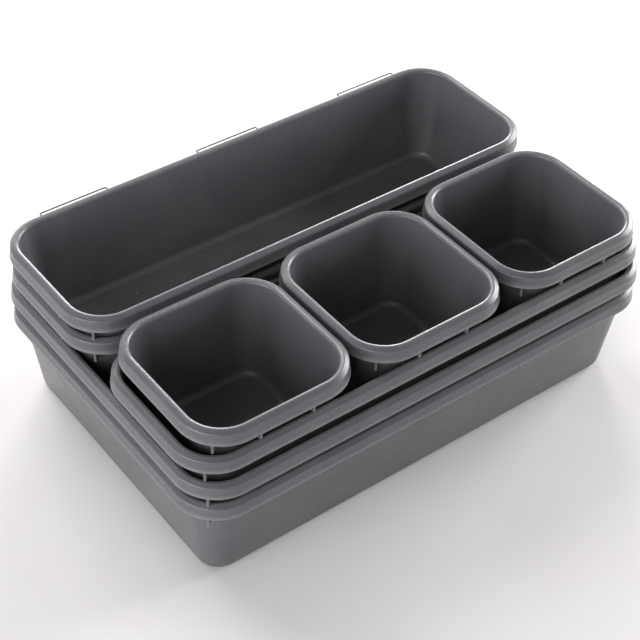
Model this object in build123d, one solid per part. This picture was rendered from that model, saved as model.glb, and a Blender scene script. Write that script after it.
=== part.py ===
"""Drawer organizer insert: eight moulded trays nested into one stack.

Two large trays nest one in the other.  Two long half-width trays stand side by
side in the upper large tray, a third long tray nests in the rear one, and three
small bins stand in a row in the front one.

Frame: +X runs along the long side, the open front faces -Y, +Z is up.  The
origin is the middle of the underside of the lowest tray.  Sizes are in mm.
"""

from build123d import *
import math
import os

# ---- overall sizes -------------------------------------------------------
LARGE_LENGTH = 232.0        # large tray over its rim, along X
LARGE_WIDTH = 156.0         # large tray over its rim, along Y
TRAY_HEIGHT = 46.0          # every tray, underside to lip
NEST_PITCH = 11.4           # height a nested tray stands above the one below
RIM_RADIUS = 19.0           # vertical corner radius over the rim

# ---- how the smaller trays share a larger one ------------------------------
LONG_END_STEP = 0.6         # long tray's rim inside the large rim, each end
LONG_SIDE_STEP = 2.4        # long tray's rim inside the large rim, each side
SMALL_COUNT = 3             # small bins in one long tray
SMALL_END_STEP = 3.9        # outer bin's rim inside the long rim, each end
SMALL_SIDE_STEP = 0.6       # bin's rim inside the long rim, each side
SMALL_GAP = 0.8             # between neighbouring bins' rims

# ---- mould section -------------------------------------------------------
WALL = 1.2                  # side wall, measured level
FLOOR = 1.4                 # floor thickness
RIM_WIDTH = 4.4             # lip's inner edge to the rim's outer edge
RIM_WALL = 1.1              # skirt thickness, measured level
FOLD_INSET = 0.5            # rim's outer edge to the fold, level
FOLD_DROP = 1.3             # lip down to the fold
SKIRT_DROP = 6.4            # lip down to the skirt's lower edge
ROOF_DROP = 2.4             # lip down to the underside of the rim
SEAT_LAND = 1.8             # level crown of the rim before the lip is rounded
FOLD_FILLET = 1.4
LIP_FILLET = 1.8            # crown into the inner wall
SKIRT_FILLET = 0.35
BASE_FILLET = 3.0           # outside, floor to wall
INSIDE_FILLET = 3.0         # inside, floor to wall

# ---- nesting ribs ----------------------------------------------------------
NEST_CLEARANCE = 0.4        # level gap between the walls of nested trays
SEAT_GAP = 0.05             # rib's foot above the lip it rests on
RIB_THICKNESS = 1.0
RIB_TIE = 0.2               # how far a corner rib runs into the skirt
LARGE_RIB_SPREAD = 25.0     # from mid short side to each side rib
LONG_RIB_SPREAD = 12.0
SMALL_RIB_SPREAD = 12.0     # from mid front and mid back to each side rib

# ---- link loops on the back of each long tray --------------------------------
LOOP_COUNT = 3
LOOP_LENGTH = 32.0
LOOP_END_MARGIN = 3.4       # end loop to the start of the corner
LOOP_REACH = 1.0            # rim's outer edge to the bar's outer face
LOOP_CLEARANCE = 0.7        # front tray's loops to the rear tray's rim
LOOP_BAR = 0.5              # bar section, level
LOOP_BAR_HEIGHT = 0.6
LOOP_WEB_HEIGHT = 1.3       # ends that tie the bar to the rim
LOOP_DROP = 1.0             # lip down to the bar's top

# ---- sizes that follow from the ones above -----------------------------------
LONG_LENGTH = LARGE_LENGTH - 2 * LONG_END_STEP
LONG_PAIR_GAP = LOOP_REACH + LOOP_CLEARANCE
LONG_WIDTH = (LARGE_WIDTH - 2 * LONG_SIDE_STEP - LONG_PAIR_GAP) / 2
SMALL_LENGTH = (
    LONG_LENGTH - 2 * SMALL_END_STEP - (SMALL_COUNT - 1) * SMALL_GAP
) / SMALL_COUNT
SMALL_WIDTH = LONG_WIDTH - 2 * SMALL_SIDE_STEP
SMALL_PITCH = SMALL_LENGTH + SMALL_GAP
LONG_OFFSET = (LONG_WIDTH + LONG_PAIR_GAP) / 2
WALL_SLOPE = (WALL + NEST_CLEARANCE) / NEST_PITCH
SKIRT_SLOPE = FOLD_INSET / (SKIRT_DROP - FOLD_DROP)
CORNER_RIB_INSET = RIM_WALL - RIB_TIE
SIDE_RIB_INSET = RIM_WIDTH - SEAT_LAND - max(LONG_END_STEP, SMALL_SIDE_STEP)
LOOP_PITCH = (
    LONG_LENGTH - 2 * RIM_RADIUS - LOOP_LENGTH - 2 * LOOP_END_MARGIN
) / (LOOP_COUNT - 1)
OVERCUT = 1.0               # how far a cutting solid runs past a face


def level_face(length, width, inset, height):
    """Rounded rectangle standing `inset` inside the rim's edge, at `height`."""
    outline = RectangleRounded(
        length - 2 * inset, width - 2 * inset, RIM_RADIUS - inset
    )
    return Pos(0, 0, height) * outline


def band(length, width, low, high):
    """Solid between two levels; low and high are (inset, height)."""
    faces = [level_face(length, width, *level) for level in (low, high)]
    return loft(faces, ruled=True)


def wall_inset(height):
    """Inset of the side wall's outer face at a height."""
    return RIM_WIDTH - WALL + WALL_SLOPE * (TRAY_HEIGHT - height)


def edges_at(solid, height):
    """Edges lying wholly at one height."""
    return solid.edges().filter_by_position(
        Axis.Z, height - 1e-4, height + 1e-4
    )


def make_body(length, width):
    """Tapered tub, solid, with its lower edge rounded."""
    tub = band(length, width, (wall_inset(0), 0), (wall_inset(TRAY_HEIGHT), TRAY_HEIGHT))
    return fillet(edges_at(tub, 0), BASE_FILLET)


def make_cavity(length, width):
    """Space inside the tub, with its lower edge rounded."""
    top = TRAY_HEIGHT + OVERCUT
    space = band(
        length, width,
        (wall_inset(FLOOR) + WALL, FLOOR),
        (wall_inset(top) + WALL, top),
    )
    return fillet(edges_at(space, FLOOR), INSIDE_FILLET)


def make_rim(length, width):
    """Turned-over rim: flared skirt, sloping land and flat lip, still solid."""
    skirt_low = TRAY_HEIGHT - SKIRT_DROP
    fold = TRAY_HEIGHT - FOLD_DROP
    skirt = band(length, width, (0, skirt_low), (FOLD_INSET, fold))
    land = band(
        length, width,
        (FOLD_INSET, fold),
        (RIM_WIDTH - SEAT_LAND, TRAY_HEIGHT),
    )
    rim = skirt + land
    rim = fillet(edges_at(rim, fold), FOLD_FILLET)
    return fillet(edges_at(rim, skirt_low), SKIRT_FILLET)


def make_rim_hollow(length, width):
    """Space under the rim, inside the skirt."""
    low = TRAY_HEIGHT - SKIRT_DROP - OVERCUT
    roof = TRAY_HEIGHT - ROOF_DROP
    return band(
        length, width,
        (RIM_WALL - SKIRT_SLOPE * OVERCUT, low),
        (RIM_WALL + SKIRT_SLOPE * (SKIRT_DROP - ROOF_DROP), roof),
    )


def rib_plate(outer_inset):
    """Upright rib from the wall out to `outer_inset`, under the rim.

    It lies in the XZ plane with the rim's outer edge at X = 0 and the tray to
    its +X side, and is tied into the wall, the roof of the rim and, where it
    reaches that far, the skirt.
    """
    foot = TRAY_HEIGHT - NEST_PITCH + SEAT_GAP
    roof = TRAY_HEIGHT - ROOF_DROP
    tie = roof + RIM_WALL / 2
    skirt_tie = RIM_WALL / 2 + SKIRT_SLOPE * (SKIRT_DROP - ROOF_DROP)
    top_inset = max(outer_inset, skirt_tie)
    reach_height = TRAY_HEIGHT - SKIRT_DROP + RIM_WALL / 2
    points = [
        (wall_inset(tie) + WALL / 2, tie),
        (wall_inset(foot) + WALL / 2, foot),
        (outer_inset, foot),
        (outer_inset, reach_height),
        (top_inset, tie),
    ]
    plate = make_face(Polyline(*points, close=True))
    upright = Plane.XZ * plate
    return extrude(upright, RIB_THICKNESS / 2, both=True)


def corner_ribs(length, width):
    """One rib on the diagonal of each rounded corner."""
    ribs = []
    for side_x in (-1, 1):
        for side_y in (-1, 1):
            centre_x = side_x * (length / 2 - RIM_RADIUS)
            centre_y = side_y * (width / 2 - RIM_RADIUS)
            inward = math.degrees(math.atan2(-side_y, -side_x))
            plate = Pos(-RIM_RADIUS, 0, 0) * rib_plate(CORNER_RIB_INSET)
            ribs.append(Pos(centre_x, centre_y, 0) * Rot(0, 0, inward) * plate)
    return ribs


def end_ribs(length, spread):
    """Pair of set-back ribs on each short side."""
    ribs = []
    for side, turn in ((-1, 0), (1, 180)):
        for offset in (-spread, spread):
            place = Pos(side * length / 2, offset, 0) * Rot(0, 0, turn)
            ribs.append(place * rib_plate(SIDE_RIB_INSET))
    return ribs


def front_and_back_ribs(width, spread):
    """Pair of set-back ribs on the front and on the back."""
    ribs = []
    for side, turn in ((-1, 90), (1, -90)):
        for offset in (-spread, spread):
            place = Pos(offset, side * width / 2, 0) * Rot(0, 0, turn)
            ribs.append(place * rib_plate(SIDE_RIB_INSET))
    return ribs


def link_loops(width):
    """Narrow loops standing off the back of the rim."""
    top = TRAY_HEIGHT - LOOP_DROP
    outer = width / 2 + LOOP_REACH
    root = width / 2 - RIM_WALL
    loops = []
    for number in range(LOOP_COUNT):
        middle = (number - (LOOP_COUNT - 1) / 2) * LOOP_PITCH
        bar = Box(LOOP_LENGTH, LOOP_BAR, LOOP_BAR_HEIGHT)
        loops.append(
            Pos(middle, outer - LOOP_BAR / 2, top - LOOP_BAR_HEIGHT / 2) * bar
        )
        for end in (-1, 1):
            web = Box(LOOP_BAR, outer - root, LOOP_WEB_HEIGHT)
            web_x = middle + end * (LOOP_LENGTH - LOOP_BAR) / 2
            web_z = top - LOOP_WEB_HEIGHT / 2
            loops.append(Pos(web_x, (outer + root) / 2, web_z) * web)
    return loops


def make_tray(length, width, additions):
    """One tray, standing on its underside, with its ribs and loops moulded on."""
    tray = make_rim(length, width) - make_rim_hollow(length, width)
    tray += make_body(length, width)
    for piece in additions:
        tray += piece
    tray -= make_cavity(length, width)
    lip_land = tray.faces().sort_by(Axis.Z)[-1]
    inner_edge = lip_land.inner_wires()[0].edges()
    return fillet(inner_edge, LIP_FILLET)


def make_large_tray():
    """Full-size tray."""
    ribs = corner_ribs(LARGE_LENGTH, LARGE_WIDTH)
    ribs += end_ribs(LARGE_LENGTH, LARGE_RIB_SPREAD)
    return make_tray(LARGE_LENGTH, LARGE_WIDTH, ribs)


def make_long_tray():
    """Long tray, half as wide as the large one, with link loops at its back."""
    additions = corner_ribs(LONG_LENGTH, LONG_WIDTH)
    additions += end_ribs(LONG_LENGTH, LONG_RIB_SPREAD)
    additions += link_loops(LONG_WIDTH)
    return make_tray(LONG_LENGTH, LONG_WIDTH, additions)


def make_small_bin():
    """Small square bin, a third of the long tray."""
    ribs = corner_ribs(SMALL_LENGTH, SMALL_WIDTH)
    ribs += front_and_back_ribs(SMALL_WIDTH, SMALL_RIB_SPREAD)
    return make_tray(SMALL_LENGTH, SMALL_WIDTH, ribs)


def make_stack():
    """Every tray by its node name, at its place in the stack."""
    large = make_large_tray()
    long_tray = make_long_tray()
    small = make_small_bin()
    nodes = {
        "large_tray_lower": large,
        "large_tray_upper": Pos(0, 0, NEST_PITCH) * large,
        "long_tray_rear_lower": Pos(0, LONG_OFFSET, 2 * NEST_PITCH) * long_tray,
        "long_tray_rear_upper": Pos(0, LONG_OFFSET, 3 * NEST_PITCH) * long_tray,
        "long_tray_front": Pos(0, -LONG_OFFSET, 2 * NEST_PITCH) * long_tray,
    }
    for number, name in enumerate(("left", "middle", "right")):
        place_x = (number - (SMALL_COUNT - 1) / 2) * SMALL_PITCH
        place = Pos(place_x, -LONG_OFFSET, 3 * NEST_PITCH)
        nodes["small_bin_" + name] = place * small
    return nodes


os.makedirs("parts", exist_ok=True)
for node, solid in make_stack().items():
    solid.label = node
    export_step(solid, "parts/" + node + ".step")
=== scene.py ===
"""Drawer organizer insert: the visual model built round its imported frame.

Eight satin plastic trays nest into one stack.  Each tray is its moulded shell,
the nesting ribs under its rim and, on the three long trays, the link loops on
its back.  Everything is in metres in the frame's own axes; the mould's sizes
are written in millimetres and scaled by MM.
"""
import logging
import math
from dataclasses import dataclass, field
from enum import Enum

import bmesh
import bpy
import numpy as np
from mathutils import Matrix, Vector
from numpy.typing import NDArray


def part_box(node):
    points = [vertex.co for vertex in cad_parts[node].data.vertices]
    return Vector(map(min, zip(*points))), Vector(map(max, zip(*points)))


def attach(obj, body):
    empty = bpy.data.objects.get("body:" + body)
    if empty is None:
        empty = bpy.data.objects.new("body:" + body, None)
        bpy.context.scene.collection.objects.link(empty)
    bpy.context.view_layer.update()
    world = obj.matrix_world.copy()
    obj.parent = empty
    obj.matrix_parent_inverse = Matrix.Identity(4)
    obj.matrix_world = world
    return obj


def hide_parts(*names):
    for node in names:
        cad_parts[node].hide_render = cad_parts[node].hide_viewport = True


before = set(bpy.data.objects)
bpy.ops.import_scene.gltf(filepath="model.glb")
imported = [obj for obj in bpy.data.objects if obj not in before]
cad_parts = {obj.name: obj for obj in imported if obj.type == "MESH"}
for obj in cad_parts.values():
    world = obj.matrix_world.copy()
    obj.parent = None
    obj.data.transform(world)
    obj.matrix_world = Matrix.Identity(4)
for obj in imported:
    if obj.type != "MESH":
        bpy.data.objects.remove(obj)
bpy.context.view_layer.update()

LOG = logging.getLogger("drawer_organizer")
MM = 0.001
# Edge nearness feeds the lighter edge colour, partly rubbing and partly painted
# highlight.
EDGE_MASK = "edge_nearness"
INSIDE_MASK = "inside_depth"

Array = NDArray[np.float64]
Colour = tuple[float, float, float]
Socket = bpy.types.NodeSocket
SocketValue = Socket | float | tuple[float, ...]


# ---------------------------------------------------------------------------
# Options
# ---------------------------------------------------------------------------


class Mould(Enum):
    """The three moulds that the stack is made from."""

    LARGE = "large"
    LONG = "long"
    SMALL = "small"


class RibSides(Enum):
    """Which pair of sides carries the set-back ribs."""

    SHORT_ENDS = "short ends"
    FRONT_AND_BACK = "front and back"


# ---------------------------------------------------------------------------
# Shapes
# ---------------------------------------------------------------------------


@dataclass(frozen=True)
class RoundedOutline:
    """Turns a polyline's corners into arcs.

    Args:
        arc_steps: Divisions of each corner arc.
        support: Distance of the extra points that keep flats flat, in mm.
    """

    arc_steps: int = 9
    support: float = 0.04

    def carve(self, corners: Array, radii: Array, closed: bool = False) -> Array:
        """Replace every corner that has a radius by a tangent arc.

        An arc of radius r at a corner whose sides turn by t starts r tan(t/2)
        before the corner.  Its points are centre + r (cos a, sin a) with a
        running evenly from the first side's normal to the second's.

        Args:
            corners: Corner points, one row each.
            radii: Radius at each corner, zero for none.
            closed: Whether the last point joins the first.

        Returns:
            Points of the rounded outline, one row each.
        """
        count = len(corners)
        spans = []
        for number in range(count):
            here = corners[number]
            is_end = not closed and number in (0, count - 1)
            if is_end or radii[number] <= 0:
                spans.append(here[None, :])
                continue
            before = corners[number - 1] - here
            after = corners[(number + 1) % count] - here
            to_before = before / np.linalg.norm(before)
            to_after = after / np.linalg.norm(after)
            half = math.acos(np.clip(to_before @ to_after, -1, 1)) / 2
            reach = radii[number] / math.tan(half)
            middle = to_before + to_after
            middle /= np.linalg.norm(middle)
            centre = here + middle * radii[number] / math.sin(half)
            start = here + to_before * reach - centre
            end = here + to_after * reach - centre
            turn = math.atan2(
                start[0] * end[1] - start[1] * end[0], float(start @ end)
            )
            angles = np.linspace(0, turn, self.arc_steps + 1)
            cosine, sine = np.cos(angles), np.sin(angles)
            arc = np.stack(
                [
                    start[0] * cosine - start[1] * sine,
                    start[0] * sine + start[1] * cosine,
                ],
                axis=1,
            )
            lead_in = here + to_before * (reach + self.support)
            lead_out = here + to_after * (reach + self.support)
            spans.append(np.vstack([lead_in, centre + arc, lead_out]))
        return np.vstack(spans)


@dataclass(frozen=True)
class MouldSection:
    """Cross-section that every tray shares, in mm.

    Each point is (inset, height): how far it stands inside the rim's outer
    edge, and how far above the tray's underside.  A floor's flat part is left
    to its cap, which takes over base_run corner radii in from the wall.
    """

    height: float = 46.0
    wall: float = 1.2
    floor: float = 1.4
    rim_width: float = 4.4
    rim_wall: float = 1.1
    fold_inset: float = 0.5
    fold_drop: float = 1.3
    fold_step: float = 0.2
    cove_inset: float = 0.62
    cove_drop: float = 3.9
    skirt_drop: float = 6.4
    roof_drop: float = 2.4
    seat_land: float = 1.8
    nest_pitch: float = 11.4
    nest_clearance: float = 0.4
    base_radius: float = 3.0
    inside_radius: float = 3.0
    fold_radius: float = 1.1
    cove_radius: float = 5.0
    lip_radius: float = 1.8
    skirt_radius: float = 0.35
    inner_skirt_radius: float = 0.25
    roof_radius: float = 0.5
    land_radius: float = 0.3
    base_run: float = 1.3
    # Where the lip's line of rubbing and painted highlight sits on the land.
    lip_rub_and_highlight_share: float = 0.55
    lip_rub_and_highlight_drop: float = 0.15

    @property
    def slope(self) -> float:
        """Level inset of the wall per unit of height."""
        return (self.wall + self.nest_clearance) / self.nest_pitch

    @property
    def skirt_slope(self) -> float:
        """Level inset of the skirt per unit of height."""
        return self.fold_inset / (self.skirt_drop - self.fold_drop)

    def wall_inset(self, height: float) -> float:
        """Inset of the side wall's outer face at a height."""
        return self.rim_width - self.wall + self.slope * (self.height - height)

    def outline(self) -> Array:
        """Open outline from the underside, over the rim, to the inner floor.

        Straight runs joined by arcs: underside, outer wall, roof of the rim,
        skirt inside, flared skirt outside in a shallow cove, fold, sloping
        land, lip, inner wall, floor.

        Returns:
            Rows of (inset, height), the least inset being zero.
        """
        top, skirt_low = self.height, self.height - self.skirt_drop
        roof = self.height - self.roof_drop
        skirt_top_inset = self.rim_wall + self.skirt_slope * (roof - skirt_low)
        base = self.wall_inset(0)
        inner = self.wall_inset(self.floor) + self.wall
        fold_inset = self.fold_inset + self.fold_step
        corners = [
            (base + self.base_radius * self.base_run, 0.0, 0.0),
            (base, 0.0, self.base_radius),
            (self.wall_inset(roof), roof, self.roof_radius),
            (skirt_top_inset, roof, self.roof_radius),
            (self.rim_wall, skirt_low, self.inner_skirt_radius),
            (0.0, skirt_low, self.skirt_radius),
            (self.cove_inset, top - self.cove_drop, self.cove_radius),
            (fold_inset, top - self.fold_drop, self.fold_radius),
            (self.rim_width - self.seat_land, top, self.land_radius),
            (self.rim_width, top, self.lip_radius),
            (inner, self.floor, self.inside_radius),
            (inner + self.inside_radius * self.base_run, self.floor, 0.0),
        ]
        table = np.array(corners)
        rounded = RoundedOutline().carve(table[:, :2], table[:, 2])
        rounded[:, 0] -= rounded[:, 0].min()
        return rounded

    def sharp_edges(self) -> Array:
        """Edges that take the lighter edge colour: the lip and the skirt's lower edge.
        That colour is partly rubbing and partly a painted highlight, the bright line
        along the lip's crest and along the skirt's lower edge.

        Returns:
            Rows of (inset, height, strength).
        """
        top = self.height
        lip_inset = self.rim_width - self.seat_land * self.lip_rub_and_highlight_share
        return np.array(
            [
                # painted highlight along the lip's crest, partly rubbing
                (lip_inset, top - self.lip_rub_and_highlight_drop, 1.0),
                # painted highlight along the skirt's lower edge, partly rubbing
                (0.0, top - self.skirt_drop, 1.0),
            ]
        )


@dataclass(frozen=True)
class RimPath:
    """Rounded rectangle that the section is carried round, in metres.

    Args:
        half_length: Half its size along X.
        half_width: Half its size along Y.
        radius: Corner radius.
        arc_steps: Divisions of each corner arc.
        side_steps: Stations between two corners.
    """

    half_length: float
    half_width: float
    radius: float
    arc_steps: int = 26
    side_steps: int = 14

    def stations(self) -> tuple[Array, Array]:
        """Corner weights and outward directions of every station.

        A station's place is weight x corner centre + radius x direction, so
        one pair of tables serves the ring at every inset.

        Returns:
            Weights and directions, one row of two values per station.
        """
        quarter = np.linspace(0, math.pi / 2, self.arc_steps + 1)
        along = np.linspace(0, 1, self.side_steps + 2)[1:-1, None]
        signs = np.array([(1, 1), (-1, 1), (-1, -1), (1, -1)], dtype=float)
        weights, directions = [], []
        for number, sign in enumerate(signs):
            angle = quarter + number * math.pi / 2
            arc = np.stack([np.cos(angle), np.sin(angle)], axis=1)
            following = signs[(number + 1) % len(signs)]
            weights.append(np.repeat(sign[None, :], len(arc), axis=0))
            directions.append(arc)
            weights.append(sign * (1 - along) + following * along)
            directions.append(np.repeat(arc[-1:], self.side_steps, axis=0))
        return np.vstack(weights), np.vstack(directions)

    def carry(self, outline: Array) -> Array:
        """Carry an outline of (inset, height) round the path.

        Args:
            outline: Section points in metres, one row each.

        Returns:
            Grid of points: one row per section point, one column per station.
        """
        weights, directions = self.stations()
        radius = (self.radius - outline[:, 0])[:, None]
        centre_x = self.half_length - self.radius
        centre_y = self.half_width - self.radius
        grid = np.empty((len(outline), len(weights), 3))
        grid[..., 0] = weights[:, 0] * centre_x + radius * directions[:, 0]
        grid[..., 1] = weights[:, 1] * centre_y + radius * directions[:, 1]
        grid[..., 2] = outline[:, 1][:, None]
        return grid


def cap_rows(ring: Array, steps: int) -> Array:
    """Close a level ring onto its own middle line.

    Each station moves straight to the nearest point of the middle line, which
    runs along X and is as long as the ring is longer than it is wide.

    Args:
        ring: Points of the ring, one row each.
        steps: Rows of the cap, the last one lying on the middle line.

    Returns:
        Grid of points from just inside the ring to the middle line.
    """
    reach = np.abs(ring[:, :2]).max(axis=0)
    spare = max(reach[0] - reach[1], 0.0)
    target = ring.copy()
    target[:, 0] = np.clip(ring[:, 0], -spare, spare)
    target[:, 1] = 0.0
    share = np.linspace(0, 1, steps + 1)[1:, None, None]
    return ring[None] * (1 - share) + target[None] * share


def grid_faces(rows: int, columns: int) -> NDArray[np.int64]:
    """Quads of a grid that closes on itself along its columns.

    Args:
        rows: Rows of points.
        columns: Points in each row.

    Returns:
        Four vertex numbers per face.
    """
    row, column = np.meshgrid(np.arange(rows - 1), np.arange(columns), indexing="ij")
    following = (column + 1) % columns
    quads = np.stack(
        [
            row * columns + column,
            row * columns + following,
            (row + 1) * columns + following,
            (row + 1) * columns + column,
        ],
        axis=-1,
    )
    return quads.reshape(-1, 4)


def smooth_mesh(name: str, points: Array, faces: list) -> bpy.types.Object:
    """Make a smooth-shaded object whose place is in its mesh.

    Args:
        name: Name of the piece.
        points: Vertices in metres.
        faces: Vertex numbers of each face, wound outwards.

    Returns:
        The linked object, at the origin.
    """
    mesh = bpy.data.meshes.new(name)
    mesh.from_pydata(points.tolist(), [], faces)
    mesh.polygons.foreach_set("use_smooth", np.ones(len(mesh.polygons), dtype=bool))
    mesh.update()
    piece = bpy.data.objects.new(name, mesh)
    bpy.context.scene.collection.objects.link(piece)
    return piece


def weld(piece: bpy.types.Object, distance: float = 1e-7) -> None:
    """Merge the doubled points where a surface closes on itself.

    Args:
        piece: The piece to weld.
        distance: Points closer than this become one, in metres.
    """
    work = bmesh.new()
    work.from_mesh(piece.data)
    bmesh.ops.remove_doubles(work, verts=work.verts, dist=distance)
    work.to_mesh(piece.data)
    work.free()
    piece.data.update()


def add_mask(piece: bpy.types.Object, name: str, values: Array) -> None:
    """Keep one value per vertex for the finish to read.

    Args:
        piece: The piece to mark.
        name: Name of the attribute.
        values: One value for each vertex.
    """
    layer = piece.data.attributes.new(name, "FLOAT", "POINT")
    layer.data.foreach_set("value", values.astype(np.float32))


@dataclass(frozen=True)
class Placement:
    """Turn about +Z, then a move, both applied to whole arrays.

    Args:
        turn: Angle in radians.
        shift: Move along X, Y and Z.
    """

    turn: float
    shift: tuple[float, float, float]

    def apply(self, points: Array) -> Array:
        """Points turned by the angle in radians, then shifted."""
        cosine, sine = math.cos(self.turn), math.sin(self.turn)
        turned = points.copy()
        turned[:, 0] = points[:, 0] * cosine - points[:, 1] * sine
        turned[:, 1] = points[:, 0] * sine + points[:, 1] * cosine
        return turned + np.array(self.shift)


# ---------------------------------------------------------------------------
# Finishes
# ---------------------------------------------------------------------------


@dataclass
class ShaderSheet:
    """Lays out the nodes of one material or node group.

    Args:
        tree: The node tree to fill.
    """

    tree: bpy.types.NodeTree

    def add(self, kind: str, **settings: object) -> bpy.types.Node:
        """Add a node.

        Args:
            kind: The node's type name.
            **settings: Properties to set on it.

        Returns:
            The node.
        """
        node = self.tree.nodes.new(kind)
        for key, value in settings.items():
            setattr(node, key, value)
        return node

    def feed(self, socket: Socket, value: SocketValue) -> None:
        """Link a socket, or set a plain value, on an input.

        Args:
            socket: The input.
            value: An output to link, or the value to set.
        """
        if isinstance(value, Socket):
            self.tree.links.new(value, socket)
        else:
            socket.default_value = value

    def maths(self, operation: str, *values: SocketValue,
              clamp: bool = False) -> Socket:
        """Work out one sum with a Math node.

        Args:
            operation: What it does, such as MULTIPLY.
            *values: Its inputs in order.
            clamp: Whether the result is held from 0 to 1.

        Returns:
            The result's socket.
        """
        node = self.add("ShaderNodeMath", operation=operation, use_clamp=clamp)
        for socket, value in zip(node.inputs, values):
            self.feed(socket, value)
        return node.outputs[0]

    def remap(self, value: SocketValue, low: float, high: float,
              to_low: float = 0.0, to_high: float = 1.0) -> Socket:
        """Smooth step of a value between two limits.

        Args:
            value: What is remapped.
            low: Where the step starts.
            high: Where the step ends.
            to_low: Result at and below the start.
            to_high: Result at and above the end.

        Returns:
            The result's socket.
        """
        node = self.add("ShaderNodeMapRange", interpolation_type="SMOOTHSTEP")
        for key, item in zip(range(5), (value, low, high, to_low, to_high)):
            self.feed(node.inputs[key], item)
        return node.outputs["Result"]

    def blend(self, share: SocketValue, first: SocketValue,
              second: SocketValue) -> Socket:
        """Colour between two.

        Args:
            share: How much of the second colour, from 0 to 1.
            first: Colour at share 0.
            second: Colour at share 1.

        Returns:
            The colour's socket.
        """
        node = self.add("ShaderNodeMix", data_type="RGBA")
        self.feed(node.inputs["Factor"], share)
        for key, item in ((6, first), (7, second)):
            if isinstance(item, tuple):
                item = (*item, 1.0)
            self.feed(node.inputs[key], item)
        return node.outputs[2]

    def noise(self, place: Socket, scale: SocketValue, detail: float = 2.0,
              rough: float = 0.5, warp: float = 0.0) -> Socket:
        """Noise value at a place.

        Args:
            place: Where it is read.
            scale: Waves per metre.
            detail: Octaves of finer noise.
            rough: Strength of each octave against the one before.
            warp: Distortion of the place.

        Returns:
            The value's socket.
        """
        node = self.add("ShaderNodeTexNoise")
        self.feed(node.inputs["Vector"], place)
        self.feed(node.inputs["Scale"], scale)
        self.feed(node.inputs["Detail"], detail)
        self.feed(node.inputs["Roughness"], rough)
        self.feed(node.inputs["Distortion"], warp)
        return node.outputs[0]

    def stretched(self, place: Socket,
                  factors: tuple[float, float, float]) -> Socket:
        """A place scaled unevenly.

        Args:
            place: The place.
            factors: Scale along each axis.

        Returns:
            The vector's socket.
        """
        node = self.add("ShaderNodeMapping")
        self.feed(node.inputs["Vector"], place)
        self.feed(node.inputs["Scale"], factors)
        return node.outputs[0]


@dataclass(frozen=True)
class EffectGroup:
    """Named inputs and outputs of a shared shader effect.

    Args:
        name: Name of the group.
        inputs: Pairs of input name and default; a None default is a vector.
        outputs: Names of its value outputs.
    """

    name: str
    inputs: tuple[tuple[str, float | None], ...]
    outputs: tuple[str, ...]

    def open(self) -> tuple[ShaderSheet, dict, bpy.types.Node]:
        """Make the empty group.

        Returns:
            Its sheet, its input sockets by name, and its output node.
        """
        tree = bpy.data.node_groups.new(self.name, "ShaderNodeTree")
        for label, default in self.inputs:
            kind = "NodeSocketVector" if default is None else "NodeSocketFloat"
            socket = tree.interface.new_socket(
                name=label, in_out="INPUT", socket_type=kind
            )
            if default is not None:
                socket.default_value = default
        for label in self.outputs:
            tree.interface.new_socket(
                name=label, in_out="OUTPUT", socket_type="NodeSocketFloat"
            )
        sheet = ShaderSheet(tree)
        given = sheet.add("NodeGroupInput")
        result = sheet.add("NodeGroupOutput")
        return sheet, {item.name: item for item in given.outputs}, result


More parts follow.
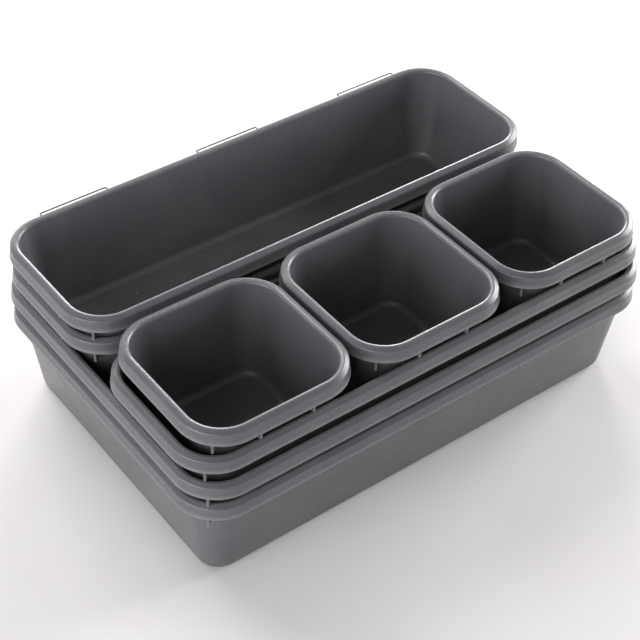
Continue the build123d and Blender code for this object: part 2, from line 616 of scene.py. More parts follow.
class SharedEffects:
    """The shader effects that several finishes use, each built once."""

    def __init__(self) -> None:
        """Build every group."""
        self.grain = self._grain()
        self.specks = self._specks()
        self.rub_and_highlight = self._rub_and_highlight()
        self.scuffs = self._scuffs()

    @staticmethod
    def _grain() -> bpy.types.NodeTree:
        """Fine satin texture of the mould, with a slower mottle over it."""
        group = EffectGroup(
            "moulded_grain",
            (("Place", None), ("Fine Scale", 5200.0), ("Mottle Scale", 620.0)),
            ("Height", "Mottle", "Cloud"),
        )
        sheet, given, result = group.open()
        fine = sheet.noise(given["Place"], given["Fine Scale"], 2.0, 0.6)
        mottle = sheet.noise(given["Place"], given["Mottle Scale"], 3.0, 0.55)
        slow_scale = sheet.maths("MULTIPLY", given["Mottle Scale"], 0.06)
        cloud = sheet.noise(given["Place"], slow_scale, 3.0, 0.5, 0.4)
        half_mottle = sheet.maths("MULTIPLY", mottle, 0.6)
        height = sheet.maths("ADD", fine, half_mottle)
        sheet.feed(result.inputs["Height"], height)
        sheet.feed(result.inputs["Mottle"], sheet.remap(mottle, 0.3, 0.7))
        sheet.feed(result.inputs["Cloud"], sheet.remap(cloud, 0.35, 0.65))
        return sheet.tree

    @staticmethod
    def _specks() -> bpy.types.NodeTree:
        """Sparse dust specks: small discs in some cells of a cell pattern."""
        group = EffectGroup(
            "dust_specks",
            (("Place", None), ("Cell Scale", 260.0), ("Size", 0.11), ("Share", 0.16)),
            ("Mask",),
        )
        sheet, given, result = group.open()
        cells = sheet.add("ShaderNodeTexVoronoi")
        sheet.feed(cells.inputs["Vector"], given["Place"])
        sheet.feed(cells.inputs["Scale"], given["Cell Scale"])
        apart = sheet.add("ShaderNodeSeparateColor")
        sheet.feed(apart.inputs[0], cells.outputs["Color"])
        chosen = sheet.maths("LESS_THAN", apart.outputs[0], given["Share"])
        size = sheet.maths("MULTIPLY", given["Size"], apart.outputs[1])
        near = sheet.maths("LESS_THAN", cells.outputs["Distance"], size)
        sheet.feed(result.inputs["Mask"], sheet.maths("MULTIPLY", chosen, near))
        return sheet.tree

    @staticmethod
    def _rub_and_highlight() -> bpy.types.NodeTree:
        """Edge rub and painted highlight: nearness to an edge, broken up by noise."""
        group = EffectGroup(
            "edge_rub_and_highlight",
            (("Place", None), ("Nearness", 0.0), ("Break Scale", 900.0)),
            ("Mask",),
        )
        sheet, given, result = group.open()
        breaks = sheet.noise(given["Place"], given["Break Scale"], 3.0, 0.65)
        # The mask lightens the colour, partly as rubbing and partly as a painted
        # highlight, and lowers the roughness.
        broken = sheet.remap(breaks, 0.25, 0.7, 0.45, 1.0)
        mask = sheet.maths("MULTIPLY", broken, given["Nearness"], clamp=True)
        sheet.feed(result.inputs["Mask"], mask)
        return sheet.tree

    @staticmethod
    def _scuffs() -> bpy.types.NodeTree:
        """Hairline scuffs: thin level lines of two stretched noises."""
        group = EffectGroup(
            "hairline_scuffs",
            (("Place", None), ("Scale", 90.0), ("Width", 0.006)),
            ("Mask",),
        )
        sheet, given, result = group.open()
        lines = []
        for factors in ((1.0, 0.16, 0.5), (0.2, 1.0, 0.6)):
            place = sheet.stretched(given["Place"], factors)
            field_value = sheet.noise(place, given["Scale"], 1.0, 0.4, 0.6)
            offset = sheet.maths("ABSOLUTE", sheet.maths("SUBTRACT", field_value, 0.5))
            lines.append(sheet.maths("LESS_THAN", offset, given["Width"]))
        both = sheet.maths("MAXIMUM", *lines)
        patch_scale = sheet.maths("MULTIPLY", given["Scale"], 0.5)
        patches = sheet.noise(given["Place"], patch_scale, 1.0, 0.5)
        kept = sheet.remap(patches, 0.52, 0.62)
        sheet.feed(result.inputs["Mask"], sheet.maths("MULTIPLY", both, kept))
        return sheet.tree


@dataclass(frozen=True)
class SatinPlastic:
    """Charcoal satin polypropylene straight from a fine-grained mould.

    Args:
        name: Name of the material.
        shade: Base colour, linear.
        bloom: Lighter tone of the slow clouding.
        rubbed_and_highlit: Colour of rubbed edges, made light enough to serve also as a
            painted highlight.
        dust: Colour of the dust specks.
        roughness: Least roughness of the clean surface.
        grain_depth: Height of the moulded grain, in metres.
        mottle_tone: Brightness of the mottle's dark parts against the shade.
        mottle_share: Most of that dark tone that shows.
        rub_and_highlight_share: Most of the rubbed, painted-highlight colour that
            shows.
        mottle_roughness: Roughness that the mottle adds.
        rub_roughness: Roughness that rubbing adds; it polishes.
        scuff_roughness: Roughness that a scuff adds.
        scuff_height: Height of a scuff against the grain's.
        bump_strength: Strength of the whole relief.
        refraction: Index of refraction.
        offset: Shift of every pattern, in metres, so that trays differ.
    """

    name: str
    shade: Colour = (0.094, 0.091, 0.100)
    bloom: Colour = (0.112, 0.108, 0.117)
    # Lighter edge colour: partly rubbing, partly a painted highlight on the lip and the
    # skirt's lower edge.
    rubbed_and_highlit: Colour = (0.30, 0.295, 0.305)
    dust: Colour = (0.42, 0.41, 0.40)
    roughness: float = 0.30
    grain_depth: float = 0.000022
    mottle_tone: float = 0.86
    mottle_share: float = 0.5
    rub_and_highlight_share: float = 0.65
    mottle_roughness: float = 0.07
    rub_roughness: float = -0.08
    scuff_roughness: float = 0.08
    scuff_height: float = -0.2
    bump_strength: float = 0.9
    refraction: float = 1.49
    offset: tuple[float, float, float] = (0.0, 0.0, 0.0)

    def make(self, effects: SharedEffects) -> bpy.types.Material:
        """Build the material.

        Args:
            effects: The shared node groups.

        Returns:
            The finished material.
        """
        material = bpy.data.materials.new(self.name)
        material.use_nodes = True
        material.node_tree.nodes.clear()
        sheet = ShaderSheet(material.node_tree)
        coordinates = sheet.add("ShaderNodeTexCoord")
        shifted = sheet.add("ShaderNodeMapping")
        sheet.feed(shifted.inputs["Vector"], coordinates.outputs["Object"])
        sheet.feed(shifted.inputs["Location"], self.offset)
        place = shifted.outputs[0]
        nearness = sheet.add("ShaderNodeAttribute", attribute_name=EDGE_MASK)
        inside = sheet.add("ShaderNodeAttribute", attribute_name=INSIDE_MASK)

        grain = self._group(sheet, effects.grain, place)
        specks = self._group(sheet, effects.specks, place)
        rub_and_highlight = self._group(sheet, effects.rub_and_highlight, place)
        sheet.feed(rub_and_highlight.inputs["Nearness"], nearness.outputs["Fac"])
        scuffs = self._group(sheet, effects.scuffs, place)

        clouded = sheet.blend(grain.outputs["Cloud"], self.shade, self.bloom)
        mottled_dark = tuple(value * self.mottle_tone for value in self.shade)
        mottle = sheet.maths("MULTIPLY", grain.outputs["Mottle"], self.mottle_share)
        mottled = sheet.blend(mottle, clouded, mottled_dark)
        # Painted highlight and rubbing: the edge mask lightens the colour towards the
        # lighter edge tone.
        rub_and_highlight_share = sheet.maths("MULTIPLY", rub_and_highlight.outputs["Mask"], self.rub_and_highlight_share)
        worn_and_highlit = sheet.blend(rub_and_highlight_share, mottled, self.rubbed_and_highlit)
        settle = sheet.remap(inside.outputs["Fac"], 0.6, 1.0, 0.25, 0.8)
        dust_share = sheet.maths("MULTIPLY", specks.outputs["Mask"], settle)
        coloured = sheet.blend(dust_share, worn_and_highlit, self.dust)

        uneven = sheet.maths(
            "MULTIPLY_ADD", grain.outputs["Mottle"], self.mottle_roughness,
            self.roughness,
        )
        smoother = sheet.maths("MULTIPLY", rub_and_highlight.outputs["Mask"], self.rub_roughness)
        scuffed = sheet.maths(
            "MULTIPLY", scuffs.outputs["Mask"], self.scuff_roughness
        )
        rough = sheet.maths("ADD", sheet.maths("ADD", uneven, smoother), scuffed)

        cut = sheet.maths("MULTIPLY", scuffs.outputs["Mask"], self.scuff_height)
        relief = sheet.maths("ADD", grain.outputs["Height"], cut)
        bump = sheet.add("ShaderNodeBump")
        bump.inputs["Strength"].default_value = self.bump_strength
        bump.inputs["Distance"].default_value = self.grain_depth
        sheet.feed(bump.inputs["Height"], relief)

        plastic = sheet.add("ShaderNodeBsdfPrincipled")
        plastic.inputs["IOR"].default_value = self.refraction
        sheet.feed(plastic.inputs["Base Color"], coloured)
        sheet.feed(plastic.inputs["Roughness"], rough)
        sheet.feed(plastic.inputs["Normal"], bump.outputs[0])
        output = sheet.add("ShaderNodeOutputMaterial")
        sheet.feed(output.inputs["Surface"], plastic.outputs[0])
        return material

    @staticmethod
    def _group(sheet: ShaderSheet, tree: bpy.types.NodeTree,
               place: Socket) -> bpy.types.Node:
        """Place a shared group in the material.

        Args:
            sheet: The material's sheet.
            tree: The group.
            place: What feeds its Place input.

        Returns:
            The group's node.
        """
        node = sheet.add("ShaderNodeGroup")
        node.node_tree = tree
        sheet.feed(node.inputs["Place"], place)
        return node


@dataclass(frozen=True)
class PaleTable:
    """Matt off-white table top with a faint mottle.

    Args:
        name: Name of the material.
        light: Its lighter tone.
        shade: Its darker tone.
        roughness: Least roughness.
        fine_scale: Waves per metre of the fine grain.
        mottle_scale: Waves per metre of the mottle.
        cloud_share: Most of the darker tone that shows.
        mottle_roughness: Roughness that the mottle adds.
        bump_strength: Strength of the relief.
        grain_depth: Height of the grain, in metres.
    """

    name: str = "pale_table"
    light: Colour = (0.80, 0.775, 0.768)
    shade: Colour = (0.765, 0.735, 0.725)
    roughness: float = 0.55
    fine_scale: float = 1500.0
    mottle_scale: float = 260.0
    cloud_share: float = 0.5
    mottle_roughness: float = 0.06
    bump_strength: float = 0.5
    grain_depth: float = 0.00004

    def make(self, effects: SharedEffects) -> bpy.types.Material:
        """Build the material.

        Args:
            effects: The shared node groups.

        Returns:
            The finished material.
        """
        material = bpy.data.materials.new(self.name)
        material.use_nodes = True
        material.node_tree.nodes.clear()
        sheet = ShaderSheet(material.node_tree)
        place = sheet.add("ShaderNodeTexCoord").outputs["Object"]
        grain = sheet.add("ShaderNodeGroup")
        grain.node_tree = effects.grain
        sheet.feed(grain.inputs["Place"], place)
        grain.inputs["Fine Scale"].default_value = self.fine_scale
        grain.inputs["Mottle Scale"].default_value = self.mottle_scale
        share = sheet.maths("MULTIPLY", grain.outputs["Cloud"], self.cloud_share)
        colour = sheet.blend(share, self.light, self.shade)
        rough = sheet.maths(
            "MULTIPLY_ADD", grain.outputs["Mottle"], self.mottle_roughness,
            self.roughness,
        )
        bump = sheet.add("ShaderNodeBump")
        bump.inputs["Strength"].default_value = self.bump_strength
        bump.inputs["Distance"].default_value = self.grain_depth
        sheet.feed(bump.inputs["Height"], grain.outputs["Height"])
        board = sheet.add("ShaderNodeBsdfPrincipled")
        sheet.feed(board.inputs["Base Color"], colour)
        sheet.feed(board.inputs["Roughness"], rough)
        sheet.feed(board.inputs["Normal"], bump.outputs[0])
        output = sheet.add("ShaderNodeOutputMaterial")
        sheet.feed(output.inputs["Surface"], board.outputs[0])
        return material


# ---------------------------------------------------------------------------
# Sub-assemblies
# ---------------------------------------------------------------------------


@dataclass
class NestingRibs:
    """Thin upright ribs under a rim: one at each corner and a pair on each of two
    opposite sides.

    Args:
        section: The tray's cross-section.
        spread: From the middle of a side to each of its two ribs, in mm.
        sides: Which sides carry the pairs.
        thickness: Thickness of a rib, in mm.
        bevel: Bevel of its two faces, in mm.
        seat_gap: From its foot down to the lip that it rests on, in mm.
        tie: How far a corner rib reaches into the skirt, in mm.
        side_step: How far a side rib stands outside the level seat, in mm.
        heel_radius: Rounding of the foot where it meets the wall, in mm.
        toe_radius: Rounding of the foot's outer corner, in mm.
        edge_fade_reach: Height over which rubbing fades from the feet, in mm.
    """

    section: MouldSection
    spread: float
    sides: RibSides
    thickness: float = 1.0
    bevel: float = 0.16
    seat_gap: float = 0.05
    tie: float = 0.2
    side_step: float = 0.6
    heel_radius: float = 0.15
    toe_radius: float = 0.3
    edge_fade_reach: float = 0.4

    def plate(self, outer_inset: float) -> tuple[Array, list]:
        """One rib in the XZ plane, its rim's outer edge at X = 0.

        The rib's outline is carried across the thickness in four rows; the
        first and last are drawn in by the bevel.

        Args:
            outer_inset: How far the rib's outer edge stands inside the rim.

        Returns:
            Points in mm, and faces.
        """
        section = self.section
        foot = section.height - section.nest_pitch + self.seat_gap
        roof = section.height - section.roof_drop
        top = roof + section.rim_wall / 2
        reach = section.height - section.skirt_drop + section.rim_wall / 2
        lean = section.skirt_slope * (section.skirt_drop - section.roof_drop)
        top_inset = max(outer_inset, section.rim_wall / 2 + lean)
        corners = np.array(
            [
                (section.wall_inset(top) + section.wall / 2, top),
                (section.wall_inset(foot) + section.wall / 2, foot),
                (outer_inset, foot),
                (outer_inset, reach),
                (top_inset, top),
            ]
        )
        radii = np.array([0.0, self.heel_radius, self.toe_radius, 0.0, 0.0])
        outline = RoundedOutline(4, 0.02).carve(corners, radii, closed=True)
        middle = outline.mean(axis=0)
        towards = middle - outline
        towards /= np.linalg.norm(towards, axis=1, keepdims=True)
        drawn_in = outline + towards * self.bevel
        half = self.thickness / 2
        rows = (
            (drawn_in, -half),
            (outline, -half + self.bevel),
            (outline, half - self.bevel),
            (drawn_in, half),
        )
        points = np.vstack(
            [
                np.column_stack([row[:, 0], np.full(len(row), level), row[:, 1]])
                for row, level in rows
            ]
        )
        count = len(outline)
        faces = grid_faces(len(rows), count).tolist()
        faces.append(list(range(count))[::-1])
        faces.append(list(range((len(rows) - 1) * count, len(rows) * count)))
        return points, faces

    def placements(self, length: float, width: float, radius: float) -> list:
        """Where the ribs stand round a tray of that rim, in mm.

        Returns:
            Pairs of placement and whether the rib is set back.
        """
        placed = []
        for side_x in (-1, 1):
            for side_y in (-1, 1):
                centre = (
                    side_x * (length / 2 - radius),
                    side_y * (width / 2 - radius),
                )
                inward = math.atan2(-side_y, -side_x)
                shift = (
                    centre[0] - radius * math.cos(inward),
                    centre[1] - radius * math.sin(inward),
                    0.0,
                )
                placed.append((Placement(inward, shift), False))
        for side in (-1, 1):
            for offset in (-self.spread, self.spread):
                if self.sides is RibSides.SHORT_ENDS:
                    turn = 0.0 if side < 0 else math.pi
                    shift = (side * length / 2, offset, 0.0)
                else:
                    turn = -side * math.pi / 2
                    shift = (offset, side * width / 2, 0.0)
                placed.append((Placement(turn, shift), True))
        return placed

    def build(self, name: str, length: float, width: float, radius: float,
              base: tuple[float, float, float]) -> bpy.types.Object:
        """Make all of one tray's ribs as one piece.

        Args:
            name: Name of the piece.
            length: Rim length in mm.
            width: Rim width in mm.
            radius: Rim corner radius in mm.
            base: Middle of the tray's underside, in metres.

        Returns:
            The piece.
        """
        section = self.section
        set_back = section.rim_width - section.seat_land - self.side_step
        corner = self.plate(section.rim_wall - self.tie)
        side = self.plate(set_back)
        points, faces, start = [], [], 0
        for placement, is_set_back in self.placements(length, width, radius):
            plate_points, plate_faces = side if is_set_back else corner
            points.append(placement.apply(plate_points))
            faces += [[index + start for index in face] for face in plate_faces]
            start += len(plate_points)
        placed = np.vstack(points) * MM + np.array(base)
        piece = smooth_mesh(name, placed, faces)
        flat_caps(piece)
        feet = (placed[:, 2] - placed[:, 2].min()) / MM
        add_mask(piece, EDGE_MASK, np.exp(-((feet / self.edge_fade_reach) ** 2)))
        add_mask(piece, INSIDE_MASK, np.zeros(len(placed)))
        return piece


def flat_caps(piece: bpy.types.Object, sides: int = 4) -> None:
    """Shade a piece's end caps flat and the rest of it smooth.

    Args:
        piece: The piece.
        sides: A face with more sides than this is an end cap.
    """
    counts = np.empty(len(piece.data.polygons), dtype=np.int32)
    piece.data.polygons.foreach_get("loop_total", counts)
    piece.data.polygons.foreach_set("use_smooth", counts <= sides)
    piece.data.update()


@dataclass
class LinkLoops:
    """Narrow loops that stand off the back of a long tray's rim, in mm.

    Args:
        count: How many stand in a row.
        length: Length of one along the rim.
        end_margin: From the rim's corner arc to the end loop.
        reach: How far a loop stands off the rim.
        bar: Width of the bar seen from above.
        bar_height: Height of the bar.
        bar_radius: Rounding of the bar's edges.
        drop: From the lip down to the bar.
        bend: Radius of the bar's two bends.
        root: How far its ends reach into the rim.
        rubbed_and_highlit: Nearness to an edge that the whole bar counts as, from 0 to
            1; the bar takes that share of the edge colour of rubbing and painted
            highlight.
    """

    count: int = 3
    length: float = 32.0
    end_margin: float = 3.4
    reach: float = 1.0
    bar: float = 0.5
    bar_height: float = 0.6
    bar_radius: float = 0.15
    drop: float = 1.0
    bend: float = 0.55
    root: float = 1.1
    rubbed_and_highlit: float = 0.25

    def route(self) -> Array:
        """Flat U of one loop: out from the rim, along it, and back.

        Straight runs joined by arcs.

        Returns:
            Rows of (along the rim, outwards).
        """
        half = (self.length - self.bar) / 2
        out = self.reach - self.bar / 2
        corners = np.array(
            [(-half, -self.root), (-half, out), (half, out), (half, -self.root)]
        )
        radii = np.array([0.0, self.bend, self.bend, 0.0])
        return RoundedOutline(8, 0.1).carve(corners, radii)

    def loop(self) -> tuple[Array, list]:
        """One loop: a small rounded bar section carried along the route.

        Returns:
            Points in mm round the loop's own middle, and faces.
        """
        route = self.route()
        tangent = np.gradient(route, axis=0)
        tangent /= np.linalg.norm(tangent, axis=1, keepdims=True)
        normal = np.stack([-tangent[:, 1], tangent[:, 0]], axis=1)
        half_w, half_h = self.bar / 2, self.bar_height / 2
        square = np.array(
            [(-half_w, -half_h), (half_w, -half_h), (half_w, half_h), (-half_w, half_h)]
        )
        radii = np.full(len(square), self.bar_radius)
        ring = RoundedOutline(3, 0.02).carve(square, radii, closed=True)
        rows, count = len(route), len(ring)
        points = np.empty((rows, count, 3))
        points[..., 0] = route[:, :1] + normal[:, :1] * ring[:, 0]
        points[..., 1] = route[:, 1:] + normal[:, 1:] * ring[:, 0]
        points[..., 2] = ring[:, 1]
        faces = [face[::-1] for face in grid_faces(rows, count).tolist()]
        faces.append(list(range(count)))
        faces.append(list(range((rows - 1) * count, rows * count))[::-1])
        return points.reshape(-1, 3), faces

    def build(self, name: str, length: float, radius: float, back_y: float,
              centre_x: float, top_z: float) -> bpy.types.Object:
        """Make one tray's loops as one piece.

        Args:
            name: Name of the piece.
            length: Rim length in mm.
            radius: Rim corner radius in mm.
            back_y: Y of the rim's back edge, in metres.
            centre_x: X of the tray's middle, in metres.
            top_z: Height of the lip, in metres.

        Returns:
            The piece.
        """
        span = length - 2 * radius - self.length - 2 * self.end_margin
        pitch = span / (self.count - 1)
        loop_points, loop_faces = self.loop()
        level = top_z / MM - self.drop - self.bar_height / 2
        points, faces = [], []
        for number in range(self.count):
            middle = (number - (self.count - 1) / 2) * pitch
            shift = (centre_x / MM + middle, back_y / MM, level)
            points.append(Placement(0.0, shift).apply(loop_points))
            start = number * len(loop_points)
            faces += [[index + start for index in face] for face in loop_faces]
        placed = np.vstack(points) * MM
        piece = smooth_mesh(name, placed, faces)
        flat_caps(piece)
        add_mask(piece, EDGE_MASK, np.full(len(placed), self.rubbed_and_highlit))
        add_mask(piece, INSIDE_MASK, np.zeros(len(placed)))
        return piece


@dataclass
class Tray:
    """One moulded tray: its shell, its ribs and perhaps its link loops.

    Args:
        node: The frame's node that it stands for.
        body: The body that it rides on.
        mould: Which mould it comes from.
        finish: Its material.
        section: Its cross-section.
        rim_radius: Corner radius over the rim, in mm.
        floor_steps: Rows of faces from each floor's edge to its middle.
        wall_steps: Rows of faces up each side of the wall.
        long_run: A straight run longer than this is divided, in mm.
        edge_fade_reach: Distance over which the edge colour fades from an edge, in mm;
            that colour is partly rubbing and partly painted highlight.
        rib_spread: From mid side to each rib of a pair, in mm.
        large_rib_spread: The same on the large mould.
    """

    node: str
    body: str
    mould: Mould
    finish: bpy.types.Material
    section: MouldSection = field(default_factory=MouldSection)
    rim_radius: float = 19.0
    floor_steps: int = 10
    wall_steps: int = 9
    long_run: float = 12.0
    edge_fade_reach: float = 0.7
    rib_spread: float = 12.0
    large_rib_spread: float = 25.0

    def __post_init__(self) -> None:
        """Read the tray's place and rim size from the frame."""
        low, high = (np.array(corner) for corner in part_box(self.node))
        self.loops = LinkLoops() if self.mould is Mould.LONG else None
        reach = self.loops.reach * MM if self.loops else 0.0
        high = high - np.array([0.0, reach, 0.0])
        self.length = (high[0] - low[0]) / MM
        self.width = (high[1] - low[1]) / MM
        self.base = (
            float((low[0] + high[0]) / 2),
            float((low[1] + high[1]) / 2),
            float(low[2]),
        )
        self.back_y = float(high[1])
        self.top_z = float(high[2])

    def outline(self) -> Array:
        """The section with its two long wall runs divided evenly.

        Returns:
            Rows of (inset, height) in mm.
        """
        points = self.section.outline()
        steps = np.linalg.norm(np.diff(points, axis=0), axis=1)
        rows = [points[:1]]
        for start, end, step in zip(points[:-1], points[1:], steps):
            parts = self.wall_steps if step > self.long_run else 1
            share = np.linspace(0, 1, parts + 1)[1:, None]
            rows.append(start + (end - start) * share)
        return np.vstack(rows)

    def masks(self, outline: Array) -> tuple[Array, Array]:
        """Edge nearness and inside depth of each section point.

        Nearness is the greatest of strength x exp(-(distance / reach)^2)
        over the edges that take the lighter edge colour, which is partly rubbing and
        partly painted highlight; depth runs from 0 at the lip to 1 at the floor
        and is 0 outside.
        the one with the greater inset, is taken as the summit.

        Args:
            outline: Section points in mm.

        Returns:
            The two values for each point.
        """
        edges = self.section.sharp_edges()
        apart = np.linalg.norm(outline[:, None] - edges[None, :, :2], axis=2)
        fade = np.exp(-((apart / self.edge_fade_reach) ** 2))
        nearness = (edges[:, 2] * fade).max(axis=1)
        inward_bias = 1e-3
        summit = int(np.argmax(outline[:, 1] + inward_bias * outline[:, 0]))
        depth = (self.section.height - outline[:, 1]) / (
            self.section.height - self.section.floor
        )
        depth[:summit] = 0.0
        return nearness, depth

    def build_shell(self) -> bpy.types.Object:
        """Carry the section round the rim and close both floors.

        Returns:
            The shell.
        """
        outline = self.outline()
        nearness, depth = self.masks(outline)
        path = RimPath(
            self.length * MM / 2, self.width * MM / 2, self.rim_radius * MM
        )
        walls = path.carry(outline * MM)
        under = cap_rows(walls[0], self.floor_steps)[::-1]
        floor = cap_rows(walls[-1], self.floor_steps)
        grid = np.concatenate([under, walls, floor])
        rows, columns = grid.shape[:2]
        pad = (self.floor_steps, self.floor_steps)
        near_rows = np.pad(nearness, pad)
        depth_rows = np.pad(depth, pad, mode="edge")
        points = grid.reshape(-1, 3) + np.array(self.base)
        shell = smooth_mesh(
            f"{self.node}_shell", points, grid_faces(rows, columns).tolist()
        )
        add_mask(shell, EDGE_MASK, np.repeat(near_rows, columns))
        add_mask(shell, INSIDE_MASK, np.repeat(depth_rows, columns))
        weld(shell)
        return shell

    def ribs(self) -> NestingRibs:
        """The ribs that this mould carries."""
        if self.mould is Mould.SMALL:
            return NestingRibs(
                self.section, self.rib_spread, RibSides.FRONT_AND_BACK
            )
        is_large = self.mould is Mould.LARGE
        spread = self.large_rib_spread if is_large else self.rib_spread
        return NestingRibs(self.section, spread, RibSides.SHORT_ENDS)

    def build(self) -> list[bpy.types.Object]:
        """Make, dress and place every piece of the tray.

        Returns:
            The pieces, the shell first.
        """
        shell = self.build_shell()
        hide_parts(self.node)
        pieces = [shell]
        pieces.append(
            self.ribs().build(
                f"{self.node}_ribs", self.length, self.width, self.rim_radius, self.base
            )
        )
        if self.loops:
            pieces.append(
                self.loops.build(
                    f"{self.node}_link_loops", self.length, self.rim_radius,
                    self.back_y, self.base[0], self.top_z,
                )
            )
        for piece in pieces:
            piece.data.materials.append(self.finish)
            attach(piece, self.body)
            LOG.info(
                "%s rides on %s: %d faces", piece.name, self.body,
                len(piece.data.polygons),
            )
        return pieces


@dataclass
class TrayStack:
    """All eight trays, each on its own body.

    Args:
        effects: The shared node groups.
    """

    effects: SharedEffects

    def finishes(self) -> dict[Mould, bpy.types.Material]:
        """One plastic for each mould, its patterns shifted.

        Returns:
            The materials by mould.
        """
        offsets = {
            Mould.LARGE: (0.0, 0.0, 0.0),
            Mould.LONG: (0.37, 0.11, 0.23),
            Mould.SMALL: (0.71, 0.29, 0.53),
        }
        return {
            mould: SatinPlastic(f"{mould.value}_tray_plastic", offset=offset).make(
                self.effects
            )
            for mould, offset in offsets.items()
        }

    def build(self) -> list[bpy.types.Object]:
        """Make every tray, from the lowest up.

        Returns:
            Every piece.
        """
        finishes = self.finishes()
        plan = (
            ("large_tray_lower", "large_lower", Mould.LARGE),
            ("large_tray_upper", "large_upper", Mould.LARGE),
            ("long_tray_rear_lower", "long_rear_lower", Mould.LONG),
            ("long_tray_rear_upper", "long_rear_upper", Mould.LONG),
            ("long_tray_front", "long_front", Mould.LONG),
            ("small_bin_left", "bin_left", Mould.SMALL),
            ("small_bin_middle", "bin_middle", Mould.SMALL),
            ("small_bin_right", "bin_right", Mould.SMALL),
        )
        pieces = []
        for node, body, mould in plan:
            pieces += Tray(node, body, mould, finishes[mould]).build()
        return pieces


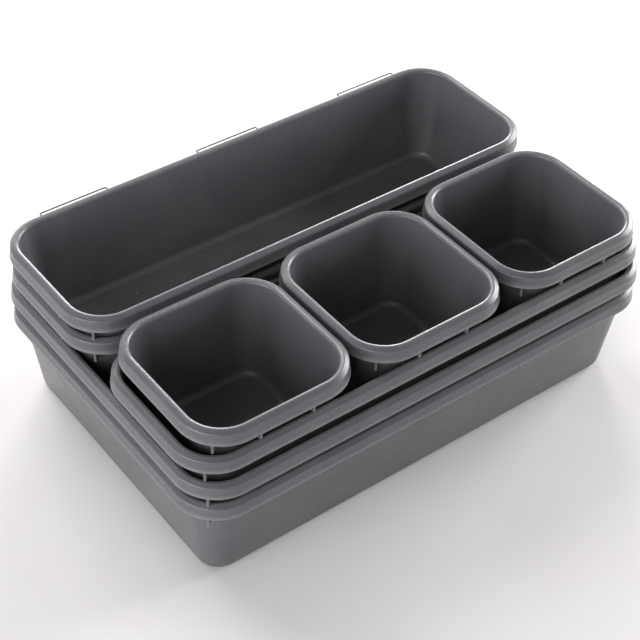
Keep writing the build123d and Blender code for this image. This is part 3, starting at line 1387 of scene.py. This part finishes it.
@dataclass
class Studio:
    """Pale table, soft lights and the camera.

    Args:
        effects: The shared node groups.
        azimuth: Where the camera stands round the stack, in degrees.
        elevation: How high it stands, in degrees.
        roll: Its turn about its own line of sight, in degrees.
        distance: From the camera to its aim, in metres.
        aim: The point it looks at.
        lens: Focal length in mm.
        sensor: Sensor width in mm.
        clip: Nearest and farthest distance it sees, in metres.
        table_half: Half the table's side, in metres.
        table_gap: From the table up to the lowest tray, in metres.
        light_aim: The point that every softbox faces.
        surround_colour: Tint of the surround.
        front_and_back: Surround's strength ahead of the stack and behind it.
        backdrop_strength: Strength of the surround where it is seen directly.
        height_curve: Pairs of height and strength, the two ends first.
    """

    effects: SharedEffects
    azimuth: float = -38.41
    elevation: float = 42.03
    roll: float = 2.24
    distance: float = 0.66023
    aim: tuple[float, float, float] = (-0.010603, -0.008395, 0.040)
    lens: float = 88.25
    sensor: float = 36.0
    clip: tuple[float, float] = (0.01, 20.0)
    table_half: float = 3.0
    table_gap: float = 0.00005
    light_aim: tuple[float, float, float] = (0.0, 0.0, 0.03)
    surround_colour: Colour = (0.96, 0.975, 1.0)
    front_and_back: tuple[float, float] = (0.90, 1.00)
    backdrop_strength: float = 0.92
    height_curve: tuple[tuple[float, float], ...] = (
        (0.0, 2.30),
        (1.0, 0.24),
        (0.15, 2.30),
        (0.30, 0.04),
        (0.60, 0.24),
    )

    def build_table(self) -> bpy.types.Object:
        """Flat table top just under the lowest tray.

        Returns:
            The table.
        """
        half, level = self.table_half, -self.table_gap
        corners = np.array(
            [
                (-half, -half, level),
                (half, -half, level),
                (half, half, level),
                (-half, half, level),
            ]
        )
        table = smooth_mesh("table_top", corners, [[0, 1, 2, 3]])
        table.data.materials.append(PaleTable().make(self.effects))
        return table

    def softbox(self, name: str, place: tuple[float, float, float], size: float,
                power: float) -> bpy.types.Object:
        """Square white area light facing the stack.

        Args:
            name: Name of the light.
            place: Where it hangs, in metres.
            size: Side of the square, in metres.
            power: Watts.

        Returns:
            The light object.
        """
        lamp = bpy.data.lights.new(name, "AREA")
        lamp.shape = "SQUARE"
        lamp.size = size
        lamp.energy = power
        light = bpy.data.objects.new(name, lamp)
        bpy.context.scene.collection.objects.link(light)
        towards = Vector(self.light_aim) - Vector(place)
        facing = towards.to_track_quat("-Z", "Y").to_matrix().to_4x4()
        light.matrix_world = Matrix.Translation(place) @ facing
        return light

    def build_lights(self) -> None:
        """Key behind, a small low crest light, three fills and the surround."""
        self.softbox("key_softbox", (-0.10, 0.95, 0.92), 0.8, 12.2)
        self.softbox("crest_softbox", (0.75, 0.95, 0.38), 0.4, 8.5)
        self.softbox("left_softbox", (-1.20, -0.10, 0.30), 0.7, 7.6)
        self.softbox("front_left_softbox", (-1.00, -0.58, 0.65), 0.7, 4.2)
        self.softbox("right_softbox", (1.20, -0.10, 0.38), 0.7, 20.0)
        self.build_surround()

    def build_surround(self) -> None:
        """Surround that is brightest near the horizon and plain to look at.

        The light it casts = height curve x back factor.  The height curve reads
        the direction's Z from a ramp; the back factor rises evenly with its Y.
        Seen directly it has one even, pale strength.
        """
        world = bpy.data.worlds.new("studio_surround")
        bpy.context.scene.world = world
        world.use_nodes = True
        backdrop = world.node_tree.nodes["Background"]
        sheet = ShaderSheet(world.node_tree)
        parts = sheet.add("ShaderNodeSeparateXYZ")
        direction = sheet.add("ShaderNodeTexCoord").outputs["Generated"]
        sheet.feed(parts.inputs[0], direction)
        curve = sheet.add("ShaderNodeValToRGB")
        sheet.feed(curve.inputs[0], parts.outputs["Z"])
        ramp = curve.color_ramp
        for number, (height, strength) in enumerate(self.height_curve):
            is_end = number < 2
            stop = ramp.elements[number] if is_end else ramp.elements.new(height)
            stop.position = height
            stop.color = (strength, strength, strength, 1.0)
        back = sheet.add("ShaderNodeMapRange")
        values = (parts.outputs["Y"], -1.0, 1.0, *self.front_and_back)
        for key, value in zip(range(5), values):
            sheet.feed(back.inputs[key], value)
        lighting = sheet.maths("MULTIPLY", curve.outputs[0], back.outputs[0])
        seen = sheet.add("ShaderNodeLightPath").outputs["Is Camera Ray"]
        unseen = sheet.maths("SUBTRACT", 1.0, seen)
        cast = sheet.maths("MULTIPLY", lighting, unseen)
        strength = sheet.maths("MULTIPLY_ADD", seen, self.backdrop_strength, cast)
        backdrop.inputs["Color"].default_value = (*self.surround_colour, 1.0)
        sheet.feed(backdrop.inputs["Strength"], strength)

    def build_camera(self) -> bpy.types.Object:
        """Camera looking at the aim point from its azimuth and elevation.

        Returns:
            The camera.
        """
        turn, lift = math.radians(self.azimuth), math.radians(self.elevation)
        back = Vector(
            (
                math.sin(turn) * math.cos(lift),
                -math.cos(turn) * math.cos(lift),
                math.sin(lift),
            )
        )
        across = Vector((0, 0, 1)).cross(back).normalized()
        upright = back.cross(across)
        roll = math.radians(self.roll)
        right = across * math.cos(roll) + upright * math.sin(roll)
        up = upright * math.cos(roll) - across * math.sin(roll)
        place = Vector(self.aim) + back * self.distance
        pose = Matrix((right, up, back)).transposed().to_4x4()
        pose.translation = place
        view = bpy.data.cameras.new("main_camera")
        view.lens = self.lens
        view.sensor_width = self.sensor
        view.clip_start, view.clip_end = self.clip
        camera = bpy.data.objects.new("main_camera", view)
        bpy.context.scene.collection.objects.link(camera)
        camera.matrix_world = pose
        bpy.context.scene.camera = camera
        return camera

    def build(self) -> None:
        """Make the whole studio."""
        self.build_table()
        self.build_lights()
        self.build_camera()
        settings = bpy.context.scene.view_settings
        settings.view_transform = "Standard"
        settings.look = "None"
        LOG.info("studio ready")


def main() -> None:
    """Build the stack and its studio, and report every piece."""
    logging.basicConfig(level=logging.INFO, format="%(name)s: %(message)s")
    effects = SharedEffects()
    pieces = TrayStack(effects).build()
    LOG.info("%d pieces in the stack", len(pieces))
    Studio(effects).build()


if __name__ == "__main__":
    main()
